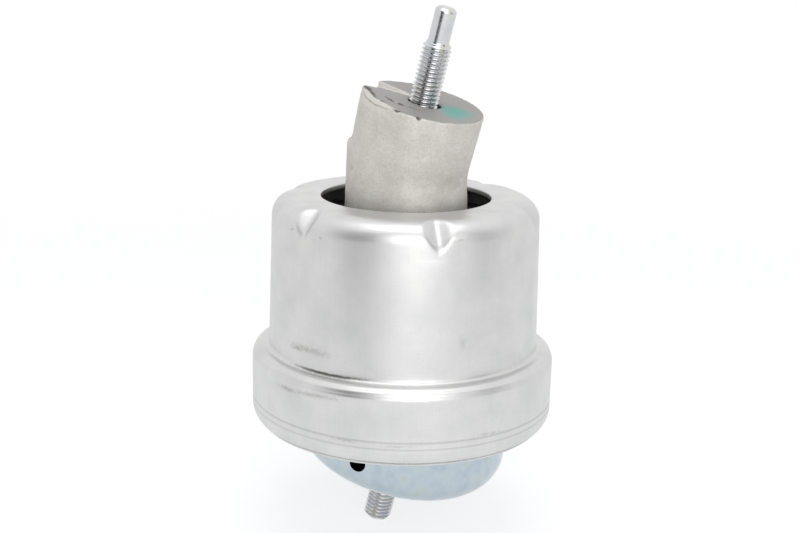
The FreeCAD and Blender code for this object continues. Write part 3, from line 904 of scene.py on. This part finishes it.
spring_outline += arc(pad_r + PAD_HOLLOW_R, -STOP_DROP - STOP_H + 1, PAD_HOLLOW_R, 180, 225, 4)
spring_outline += [(RING_R - RING_LIP_T - 0.5, ring_top + 0.4), (RING_R - RING_LIP_T, ring_top - 0.2)]
spring_outline += [(RING_R - RING_FOOT_T, spring_foot)]
main_spring = turned("main_spring_rubber", spring_outline, even_turns(128))
close_skin()
settle(main_spring, CAN_TOP)

# %% [markdown]
# ## Materials
#
# Every material reads the object's own coordinates through one Mapping node, which moves them to
# the can's top, or to the core's face, and turns metres into millimetres. Grain, streaks and stains
# are then set in real sizes. One function adds a node with its settings and links.

# %% Colour and node helpers
def linear(code):
    """An sRGB hex colour as Blender wants it."""
    channels = [int(code[start:start + 2], 16) / 255 for start in (1, 3, 5)]
    return [c / 12.92 if c <= 0.04045 else ((c + 0.055) / 1.055) ** 2.4 for c in channels] + [1.0]


def live(sockets, key):
    """A socket by its place, or the one in use by that name."""
    if isinstance(key, int):
        return sockets[key]
    return next(socket for socket in sockets if socket.enabled and socket.name == key)


def add(tree, kind, inputs=None, **settings):
    """Add a shader node. An input is a hex colour, a value, a socket or a node, whose output is taken."""
    made = tree.nodes.new("ShaderNode" + kind)
    for key, value in settings.items():
        setattr(made, key, value)
    for key, value in (inputs or {}).items():
        socket = live(made.inputs, key)
        if isinstance(value, bpy.types.Node):
            value = next(output for output in value.outputs if output.enabled)
        if isinstance(value, bpy.types.NodeSocket):
            tree.links.new(value, socket)
        else:
            socket.default_value = linear(value) if isinstance(value, str) else value
    return made


def new_material(name):
    """An empty material and its tree."""
    material = bpy.data.materials.new(name)
    material.use_nodes = True
    material.node_tree.nodes.clear()
    return material, material.node_tree


def finish_material(tree, shader):
    add(tree, "OutputMaterial", {"Surface": shader.outputs[0]})


def finish_surface(tree, colour, metallic, roughness, height, strength, depth, **more):
    """One shader for a whole piece, with a bump as deep as this in millimetres."""
    bump = add(tree, "Bump", {"Height": height, "Strength": strength, "Distance": depth * MM})
    finish_material(tree, add(tree, "BsdfPrincipled", {
        "Base Color": colour, "Metallic": metallic, "Roughness": roughness, "Normal": bump, **more}))


# %% Helpers for what the materials share
def noisy(tree, place, scale, detail, roughness=0.5):
    """Noise with this many waves in a millimetre."""
    return add(tree, "TexNoise", {"Vector": place, "Scale": scale, "Detail": detail, "Roughness": roughness})


def remap(tree, value, low, high, new_low=0.0, new_high=1.0):
    """Carry the span between low and high over to a new one, and stop at both ends."""
    return add(tree, "MapRange", {"Value": value, "From Min": low, "From Max": high,
                                  "To Min": new_low, "To Max": new_high})


def mixed(tree, share, first, second):
    """The first colour where the share is nought, the second where it is one."""
    return add(tree, "Mix", {"Factor": share, 6: first, 7: second}, data_type="RGBA")


def worked(tree, operation, *values):
    """Arithmetic on numbers."""
    return add(tree, "Math", dict(enumerate(values)), operation=operation)


def vector_worked(tree, operation, *values):
    """Arithmetic on vectors."""
    return add(tree, "VectorMath", dict(enumerate(values)), operation=operation)


def coordinates(tree, origin, tilt=0.0):
    """Object coordinates in millimetres about an origin."""
    place = add(tree, "TexCoord").outputs["Object"]
    return add(tree, "Mapping", {"Vector": place, "Location": origin, "Rotation": (0, tilt, 0),
                                 "Scale": (MM, MM, MM)}, vector_type="TEXTURE")


def wrapped(tree, place, radius):
    """A turned piece's surface rolled out flat: X is the way round in millimetres, Y the height."""
    parts = add(tree, "SeparateXYZ", {"Vector": place})
    turn = worked(tree, "ARCTAN2", parts.outputs["Y"], parts.outputs["X"])
    return add(tree, "CombineXYZ", {"X": worked(tree, "MULTIPLY", turn, radius), "Y": parts.outputs["Z"]})


def patches(tree, flat, marks, ragged, wild=1.1):
    """Soft-edged marks on a flat sheet: each is a centre, its half sizes, a turn and a strength."""
    total = None
    for centre, half, turn, strength in marks:
        local = add(tree, "Mapping", {"Vector": flat, "Location": (*centre, 0), "Scale": (*half, 1),
                                      "Rotation": (0, 0, math.radians(turn))}, vector_type="TEXTURE")
        reach = vector_worked(tree, "LENGTH", local).outputs["Value"]
        mark = remap(tree, worked(tree, "MULTIPLY_ADD", ragged, wild, reach), 1.75, 0.85, 0.0, strength)
        mark.interpolation_type = "SMOOTHSTEP"
        total = mark if total is None else worked(tree, "MAXIMUM", total, mark)
    return total


# %% [markdown]
# ### Drawn aluminium
#
# The can is bare drawn sheet: a satin metal, brighter where the die polished it, with fine lines
# across and along the draw, small dark specks, and grey rubbings from handling. The streaks are
# noise stretched on the rolled-out wall, the rubbings are a list of soft patches.

# %% Marks on the can
def on_wall(turn, height):
    """A place on the rolled-out wall: the turn in degrees, and the height under the can's top."""
    return math.radians(turn) * WALL_R, height


RUBBINGS = ((on_wall(-97, -45.8), (16, 2.2), 0, 0.5), (on_wall(-103, -46.5), (7, 1.6), 0, 0.6),
            (on_wall(-88, -58.2), (17, 1.5), 3, 0.5), (on_wall(-100, -58.8), (9, 1.6), 0, 0.55),
            (on_wall(-108.5, -6.9), (1.6, 0.9), 20, 0.8), (on_wall(-90.7, -7.4), (1.3, 0.8), 0, 0.45),
            (on_wall(-33, -5.9), (5, 1.0), 8, 0.45), (on_wall(-57, -72), (9, 0.8), 2, 0.35),
            (on_wall(-22, -70), (8, 0.9), -4, 0.4), (on_wall(-75, -71.5), (8, 0.9), 0, 0.4),
            (on_wall(-31, -40), (2.2, 5), 0, 0.3), (on_wall(60, -46), (12, 2), 0, 0.4),
            (on_wall(140, -30), (9, 4), 30, 0.35), (on_wall(165, -63), (14, 2), 0, 0.4))
RUBBING_WILDNESS = 1.9              # how ragged their edges are
ALL_ROUND = 900                     # longer than the can is round

# two dark lines are scored round the rim, two more round its rolled edge are painted shade in the edge's
# grooves and where it meets the cup, and one scratch runs along the wall's foot
SCORES_AND_SHADE_LINES = (((0, -70.9), (ALL_ROUND, 0.5), 0, 0.22), ((0, -73.2), (ALL_ROUND, 0.4), 0, 0.18),
          ((0, -78.7), (ALL_ROUND, 0.6), 0, 0.55), ((0, -80.7), (ALL_ROUND, 0.5), 0, 0.5),
          (on_wall(-87, -52.3), (15, 0.55), 0, 0.95))


# %% The can's material
def drawn_aluminium():
    material, tree = new_material("satin_drawn_aluminium")
    place = coordinates(tree, CAN_TOP)
    flat = wrapped(tree, place, WALL_R)
    cloudy = noisy(tree, place, 0.09, 4.0, 0.55)
    # die lines run down the wall, about 0.6 mm apart; spinning lines run round it
    die = noisy(tree, vector_worked(tree, "MULTIPLY", flat, (1.6, 0.05, 1)), 1.0, 3.0, 0.6)
    spin = noisy(tree, vector_worked(tree, "MULTIPLY", flat, (0.10, 2.2, 1)), 1.0, 3.0, 0.65)
    lines = worked(tree, "ADD", die, spin)
    ragged = noisy(tree, place, 0.9, 5.0, 0.75)
    rubbed = patches(tree, flat, RUBBINGS, ragged, RUBBING_WILDNESS)
    scratch_and_shade = patches(tree, flat, SCORES_AND_SHADE_LINES, ragged)

    base = mixed(tree, remap(tree, cloudy, 0.3, 0.7), "#DEDEDD", "#D4D4D4")
    lined_base = mixed(tree, remap(tree, lines, 0.75, 1.3, 0.0, 0.22), base, "#C9C9C8")
    speck = remap(tree, noisy(tree, place, 1.7, 2.0), 0.69, 0.75, 0.0, 0.35)
    specked = mixed(tree, speck, lined_base, "#A5A49F")
    worn = mixed(tree, rubbed, specked, "#A3A29F")
    # scored lines and a scratch, with painted shade lines on the rolled edge
    colour = mixed(tree, scratch_and_shade, worn, "#5A5956")

    satin = remap(tree, cloudy, 0.3, 0.7, 0.33, 0.41)
    roughness = worked(tree, "MULTIPLY_ADD", rubbed, 0.25, satin)
    waves = worked(tree, "MULTIPLY_ADD", cloudy, 3.0, lines)
    # the fine lines round the can spread a reflection more up and down than sideways
    around = add(tree, "Tangent", direction_type="RADIAL", axis="Z")
    finish_surface(tree, colour, 0.85, roughness, waves, 0.5, 0.03, Anisotropic=0.3, Tangent=around)
    return material


# %% [markdown]
# ### Cast aluminium
#
# The core was poured in a metal mould and left as it came: a dull, slightly warm grey that scatters
# light almost like stone. Some bare metal shows through, so the shader is partly metallic. The top
# face was milled flat afterwards; its colour is painted greyer as shade, and it has a dab of green
# paint from inspection.

# %% Marks on the core's top face
# painted shade along the crack, in the lip's groove and in two nicks
CRACK_SHADE_MARKS = (((-4.6, -12.4), (3.4, 0.6), -16, 0.8), ((-0.6, -12.6), (3.1, 0.85), 8, 0.95),
                ((3.2, -11.2), (3.4, 0.6), 17, 0.8), ((-16.2, -10.7), (2.6, 1.2), -29, 0.8),
                ((-12.2, -13.2), (4.2, 0.7), -35, 0.8), ((-6.6, -16.2), (3.6, 0.5), -15, 0.5),
                ((3.7, -19.9), (1.7, 0.6), 10, 0.85), ((10.7, -17.8), (1.0, 0.6), 0, 0.9))
CRACK_SHADE_WILDNESS = 0.6
DABS = (((11.4, 3.6), (6.5, 7.6), 20, 0.75), ((13.8, -1.5), (5.0, 4.4), 0, 0.6),
        ((8.6, 6.6), (4.2, 4.0), 0, 0.5))
HOLE_BLACK_CENTRE = (UPPER_STUD_SHIFT + MOUTH_SHIFT, 0, -7)    # the stud's hole is coloured near black round this place
HOLE_BLACK_REACH = 9.0
HOLE_BLACK_FULL = 8.2


# %% The core's material
def cast_aluminium():
    material, tree = new_material("matte_cast_aluminium")
    place = coordinates(tree, CAN_TOP)
    face = coordinates(tree, POST_FACE, TILT)
    sand = noisy(tree, place, 1.3, 4.0, 0.7)
    ragged = noisy(tree, face, 0.6, 4.0, 0.7)
    pits = add(tree, "TexVoronoi", {"Vector": place, "Scale": 0.33, "Randomness": 1.0})

    tone = remap(tree, noisy(tree, place, 0.16, 5.0, 0.6), 0.32, 0.68)
    base = mixed(tree, tone, "#DFDBD3", "#EEEBE4")
    flecked = mixed(tree, remap(tree, sand, 0.35, 0.65, 0.0, 0.4), base, "#C6C2BA")
    hole = remap(tree, pits.outputs["Distance"], 0.10, 0.03, 0.0, 0.4)
    pitted = mixed(tree, hole, flecked, "#96928B")

    # the top face is what lies square to the lean, within its unworn rim; it is painted darker there, as
    # shade
    upright = vector_worked(tree, "DOT_PRODUCT", add(tree, "NewGeometry").outputs["Normal"], LEAN)
    level = remap(tree, upright.outputs["Value"], 0.75, 0.9)
    flat = vector_worked(tree, "MULTIPLY", face, (1, 1, 0))
    reach = vector_worked(tree, "DISTANCE", flat, (*WORN_CENTRE, 0)).outputs["Value"]
    ragged_reach = worked(tree, "MULTIPLY_ADD", ragged, 0.8, reach)
    unworn = remap(tree, ragged_reach, WORN_REACH + 0.6, WORN_REACH + 0.2)
    top_face = worked(tree, "MULTIPLY", level, unworn)
    # painted shade: the top face is made darker than the sides
    top_shaded = mixed(tree, top_face, pitted, "#AEABA8")

    crack = patches(tree, face, CRACK_SHADE_MARKS, ragged, CRACK_SHADE_WILDNESS)
    # painted shade in the crack, the lip's groove and the nicks
    crack_shaded = mixed(tree, crack, top_shaded, "#43403D")
    paint = worked(tree, "MULTIPLY", patches(tree, face, DABS, ragged), top_face)
    painted = mixed(tree, paint, crack_shaded, "#62BFB2")
    # the wall of the stud's hole is coloured near black from just below the face down
    off_stud = vector_worked(tree, "DISTANCE", face, HOLE_BLACK_CENTRE)
    colour = mixed(tree, remap(tree, off_stud.outputs["Value"], HOLE_BLACK_REACH, HOLE_BLACK_FULL), painted, "#141312")

    bare = remap(tree, paint, 0.0, 1.0, 0.35, 0.0)
    roughness = remap(tree, sand, 0.3, 0.7, 0.50, 0.66)
    height = worked(tree, "MULTIPLY_ADD", hole, -2.0, sand)
    finish_surface(tree, colour, bare, roughness, height, 0.7, 0.12)
    return material


# %% [markdown]
# ### Zinc plate
#
# Studs and cup are steel with bright zinc. The plate mirrors softly, and its thin passivation
# film gives the studs a faint play of yellow and violet and the cup a cold blue. Both are one
# recipe with other colours, so one function makes the two.

# %% Zinc on studs and cup
def zinc_plate(name, origin, tilt, pale, cool, warm, low, high):
    material, tree = new_material(name)
    place = coordinates(tree, origin, tilt)
    film = noisy(tree, place, 0.22, 3.0)
    fine = noisy(tree, place, 1.5, 3.0, 0.6)
    cooled = mixed(tree, remap(tree, film, 0.42, 0.68), pale, cool)
    colour = mixed(tree, remap(tree, film, 0.46, 0.30), cooled, warm)
    finish_surface(tree, colour, 1.0, remap(tree, fine, 0.3, 0.7, low, high), fine, 0.25, 0.02)
    return material


# %% [markdown]
# ### Rubber and the hidden pieces
#
# The spring is black moulded rubber with a dull bloom. Inside the mount a grey phosphated ring, two
# die-cast plates and two thin membranes keep their CAD shape, because it is right as it is; each
# only gets its finish. They share one recipe of grain and tone.

# %% Plain grained finishes
def grained(name, dark, light, metallic, roughness, grain_mm, depth_mm):
    material, tree = new_material(name)
    place = coordinates(tree, CAN_TOP)
    grain = noisy(tree, place, 1 / grain_mm, 4.0)
    blend = worked(tree, "MULTIPLY", grain, noisy(tree, place, 0.08, 2.0))
    colour = mixed(tree, remap(tree, blend, 0.12, 0.38), dark, light)
    finish_surface(tree, colour, metallic, roughness, grain, 0.5, depth_mm)
    return material


# %% Give each piece its finish
aluminium = drawn_aluminium()
casting = cast_aluminium()
stud_zinc = zinc_plate("bright_zinc_on_steel", STUD_FOOT, TILT, "#D3D4D5", "#CBCBD0", "#D2CFC6", 0.18, 0.26)
cup_zinc = zinc_plate("blue_zinc_on_pressed_steel", CAN_TOP, 0.0, "#B9C4CB", "#AEBAC4", "#B5C0C0", 0.14, 0.20)
rubber = grained("black_moulded_rubber", "#121110", "#1F1D1B", 0.0, 0.62, 0.6, 0.05)
membrane = grained("smooth_black_membrane", "#161616", "#232323", 0.0, 0.5, 0.4, 0.02)
phosphate = grained("grey_phosphated_steel", "#4A4B4C", "#5E5F60", 0.8, 0.55, 0.5, 0.03)
die_cast = grained("die_cast_aluminium", "#989A9B", "#B0B2B3", 0.9, 0.48, 0.8, 0.03)

for piece, material in ((can_shell, aluminium), (core_casting, casting), (upper_stud, stud_zinc),
                        (lower_stud, stud_zinc), (cup_pot, cup_zinc), (main_spring, rubber)):
    piece.data.materials.clear()
    piece.data.materials.append(material)

for node, material in (("spring_ring", phosphate), ("channel_top", die_cast), ("channel_base", die_cast),
                       ("decoupler", membrane), ("diaphragm", membrane)):
    for material_slot in frame["nodes"][node].material_slots:
        material_slot.material = material
print("finishes:", len(bpy.data.materials))

# %% [markdown]
# ## Tie the pieces to the frame
#
# Each piece rides on the body it belongs to and stands for its CAD node. The rubber belongs to
# both: it stays with the ring at its foot and goes with the core at its pad.

# %% Ride, replace and blend
for piece, node, body, finish in ((can_shell, "can", "housing", "aluminium_can"),
                                  (core_casting, "core", "core", "cast_core"),
                                  (upper_stud, "upper_stud", "core", "zinc_stud"),
                                  (lower_stud, "lower_stud", "housing", "zinc_stud"),
                                  (cup_pot, "cup", "housing", "zinc_cup")):
    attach(piece, body)
    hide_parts(node)

blend_low = Vector((CAN_TOP.x, 0, ring_low.z))
blend_high = Vector((CAN_TOP.x, 0, CAN_TOP.z - (STOP_DROP + STOP_H) * MM))
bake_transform(main_spring, "housing", "core", start=blend_low, end=blend_high)
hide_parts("main_spring")

# %% [markdown]
# ## Floor, world and lamps
#
# The ground is plain and pale. For what the camera and the metal's reflections see, floor and world
# are near white; for the light that falls on the object they stay calmer. Two soft boxes shape it:
# one to the right of the camera draws the bright band down the can, and one overhead lights the
# shoulder. The floor keeps the object's shadow, and runs out into pure white further off.

# %% Floor and world
FLOOR_SIZE = 24
FLOOR_GAP = 0.3                     # below the lowest point of the mount, in mm
SHADOW_REACH = 0.15                 # metres from the origin at which the floor starts to fade to white
WHITE_REACH = 0.7


def seen_directly(tree):
    """One for camera, mirror and glass rays, and nought for the light that a surface gathers."""
    path = add(tree, "LightPath")
    mirror = worked(tree, "MAXIMUM", path.outputs["Is Camera Ray"], path.outputs["Is Glossy Ray"])
    return worked(tree, "MAXIMUM", mirror, path.outputs["Is Transmission Ray"])


deselect()
bpy.ops.mesh.primitive_plane_add(size=FLOOR_SIZE, location=(0, 0, cad_low[2] - FLOOR_GAP * MM))
floor = new_piece("floor")
bpy.ops.object.transform_apply(location=True)
floor_paint, tree = new_material("white_sweep")
glow = add(tree, "Emission", {"Color": "#FFFFFF", "Strength": 0.62})
near = add(tree, "AddShader", {0: glow, 1: add(tree, "BsdfDiffuse", {"Color": "#D0D0D0"})})
far = add(tree, "Emission", {"Color": "#FFFFFF", "Strength": 1.0})
spread = vector_worked(tree, "LENGTH", add(tree, "TexCoord").outputs["Object"])
fade = remap(tree, spread.outputs["Value"], SHADOW_REACH, WHITE_REACH)
fade.interpolation_type = "SMOOTHSTEP"
lit = add(tree, "MixShader", {0: fade, 1: near, 2: far})
plain = add(tree, "BsdfDiffuse", {"Color": "#E0E0E0"})
finish_material(tree, add(tree, "MixShader", {0: seen_directly(tree), 1: plain, 2: lit}))
floor.data.materials.append(floor_paint)

world = bpy.data.worlds.new("pale_studio")
bpy.context.scene.world = world
world.use_nodes = True
sky = world.node_tree
sky.nodes.clear()
soft = add(sky, "Background", {"Color": "#F4F6F8", "Strength": 0.52})
white = add(sky, "Background", {"Color": "#FFFFFF", "Strength": 1.0})
sky_shader = add(sky, "MixShader", {0: seen_directly(sky), 1: soft, 2: white})
add(sky, "OutputWorld", {"Surface": sky_shader.outputs[0]})
bpy.context.scene.view_settings.view_transform = "Standard"

# %% Soft boxes
LIGHT_TARGET = Vector((CAN_TOP.x, 0, CAN_TOP.z * 0.6))


def soft_box(name, azimuth, rise, distance, width, height, brightness):
    """A rectangular lamp aimed at the can. Brightness is how white it looks in a mirror."""
    a, e = math.radians(azimuth), math.radians(rise)
    away = Vector((math.sin(a) * math.cos(e), -math.cos(a) * math.cos(e), math.sin(e)))
    deselect()
    bpy.ops.object.light_add(type="AREA", location=LIGHT_TARGET + away * distance)
    lamp = bpy.context.active_object
    lamp.name = name
    lamp.rotation_euler = (-away).to_track_quat("-Z", "Y").to_euler()
    lamp.data.shape = "RECTANGLE"
    lamp.data.size = width
    lamp.data.size_y = height
    lamp.data.energy = brightness * math.pi * width * height
    print(name, round(lamp.data.energy, 3), "W")


soft_box("front_box", 43, 14, 0.9, 0.5, 0.7, 2.1)
soft_box("top_box", 40, 74, 0.8, 0.6, 0.5, 1.5)

# %% [markdown]
# Bright metal in an all-white room looks like paint. So two dark flags stand upright round the
# mount, and the streaks they leave in the metal draw its roundness. They are seen in reflections
# only, and throw no shadow.

# %% Dark flags
flag_cloth, tree = new_material("dark_flag_cloth")
finish_material(tree, add(tree, "BsdfDiffuse", {"Color": "#484848"}))


def flag(name, azimuth, distance, width, height):
    """A dark upright card that faces the can."""
    turn = math.radians(azimuth)
    away = Vector((math.sin(turn), -math.cos(turn), 0))
    deselect()
    place = LIGHT_TARGET + away * distance + Vector((0, 0, height * 0.3))
    bpy.ops.mesh.primitive_plane_add(size=1, location=place)
    card = new_piece(name)
    card.rotation_euler = (-away).to_track_quat("Z", "Y").to_euler()
    card.scale = (width, height, 1)
    bpy.ops.object.transform_apply(location=True, rotation=True, scale=True)
    card.data.materials.append(flag_cloth)
    card.visible_camera = False
    card.visible_diffuse = False
    card.visible_shadow = False
    card.visible_transmission = False


flag("left_flag", -1, 0.62, 0.34, 0.62)
flag("right_flag", 101, 0.62, 0.14, 0.62)
